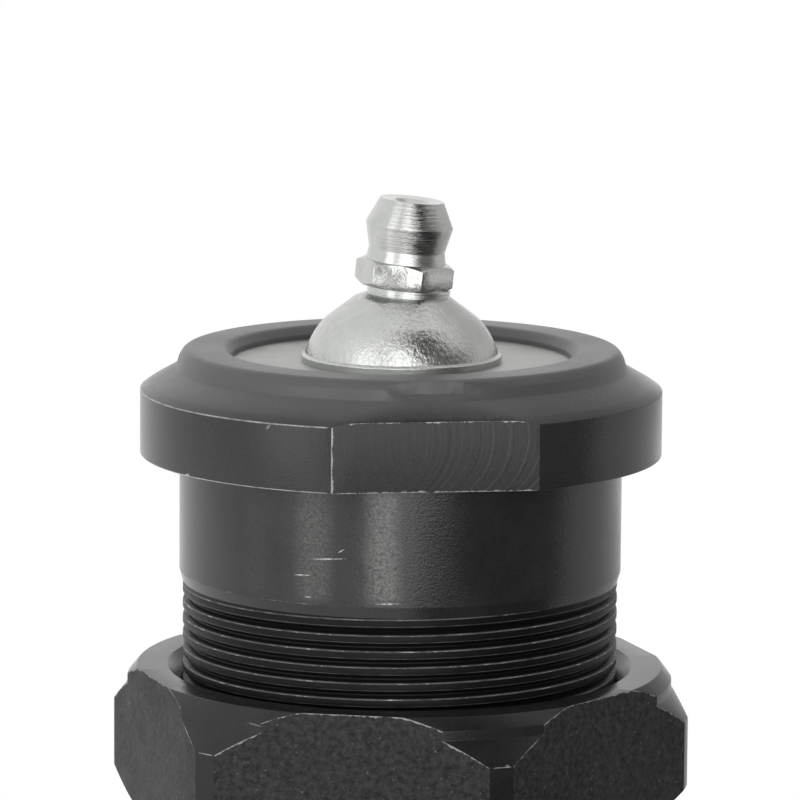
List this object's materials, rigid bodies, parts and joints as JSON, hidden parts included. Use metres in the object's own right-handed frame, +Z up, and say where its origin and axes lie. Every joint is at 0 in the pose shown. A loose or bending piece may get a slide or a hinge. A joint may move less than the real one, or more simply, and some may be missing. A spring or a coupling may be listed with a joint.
{
  "type": "suspension ball joint",
  "caption": "Greaseable suspension ball joint: threaded housing clamped through a control arm by a large hex nut, with tapered ball stud, dust boot and grease nipple.",
  "frame": {"origin": "on the housing axis, on the underside of the flange that rests on the control arm", "axes": "+Z up the housing axis towards the grease nipple; the wrench flats face +Y and -Y"},
  "size_m": [0.0414, 0.0424, 0.101],
  "materials": {
    "black_steel": "satin",
    "zinc_steel": "satin",
    "plain_steel": "satin",
    "bearing_plastic": "matte",
    "boot_rubber": "matte"
  },
  "bodies": {
    "housing_body": {"housing": "black_steel", "cover_plate": "zinc_steel", "cover_seal_ring": "boot_rubber", "nipple_dome": "zinc_steel", "grease_nipple": "zinc_steel", "nipple_spring": "plain_steel", "preload_spring": "plain_steel", "pressure_plate": "plain_steel", "upper_bearing_seat": "bearing_plastic", "lower_bearing_seat": "bearing_plastic", "boot_upper_ring": "plain_steel"},
    "nut_body": {"clamp_nut": "black_steel"},
    "check_body": {"nipple_check_ball": "plain_steel"},
    "boot_body": {"dust_boot": "boot_rubber"},
    "boot_foot_body": {"boot_lower_ring": "plain_steel"},
    "stud_body": {"ball_stud": "plain_steel", "castle_nut": "zinc_steel", "cotter_pin": "zinc_steel"}
  },
  "joints": [
    {"name": "nut_travel", "type": "slide", "parent": "housing_body", "child": "nut_body", "axis": [0, 0, 1], "range_m": [-0.001, 0.0063]},
    {"name": "check_ball_travel", "type": "slide", "parent": "housing_body", "child": "check_body", "axis": [-0.0966, 0.0136, -0.9952], "range_m": [0, 0.0008], "stiffness_N_per_m": 200, "springref_m": -0.001, "deforming": ["nipple_spring"]},
    {"name": "stud_tilt_x", "type": "hinge", "parent": "housing_body", "child": "boot_body", "pos_m": [0, 0, -0.0215], "axis": [1, 0, 0], "range_deg": [-18, 18], "deforming": ["dust_boot"]},
    {"name": "stud_tilt_y", "type": "hinge", "parent": "boot_body", "child": "boot_foot_body", "pos_m": [0, 0, -0.0215], "axis": [0, 1, 0], "range_deg": [-18, 18], "deforming": ["dust_boot"]},
    {"name": "stud_spin", "type": "hinge", "parent": "boot_foot_body", "child": "stud_body", "pos_m": [0, 0, -0.0215], "axis": [0, 0, 1], "continuous": true}
  ]
}
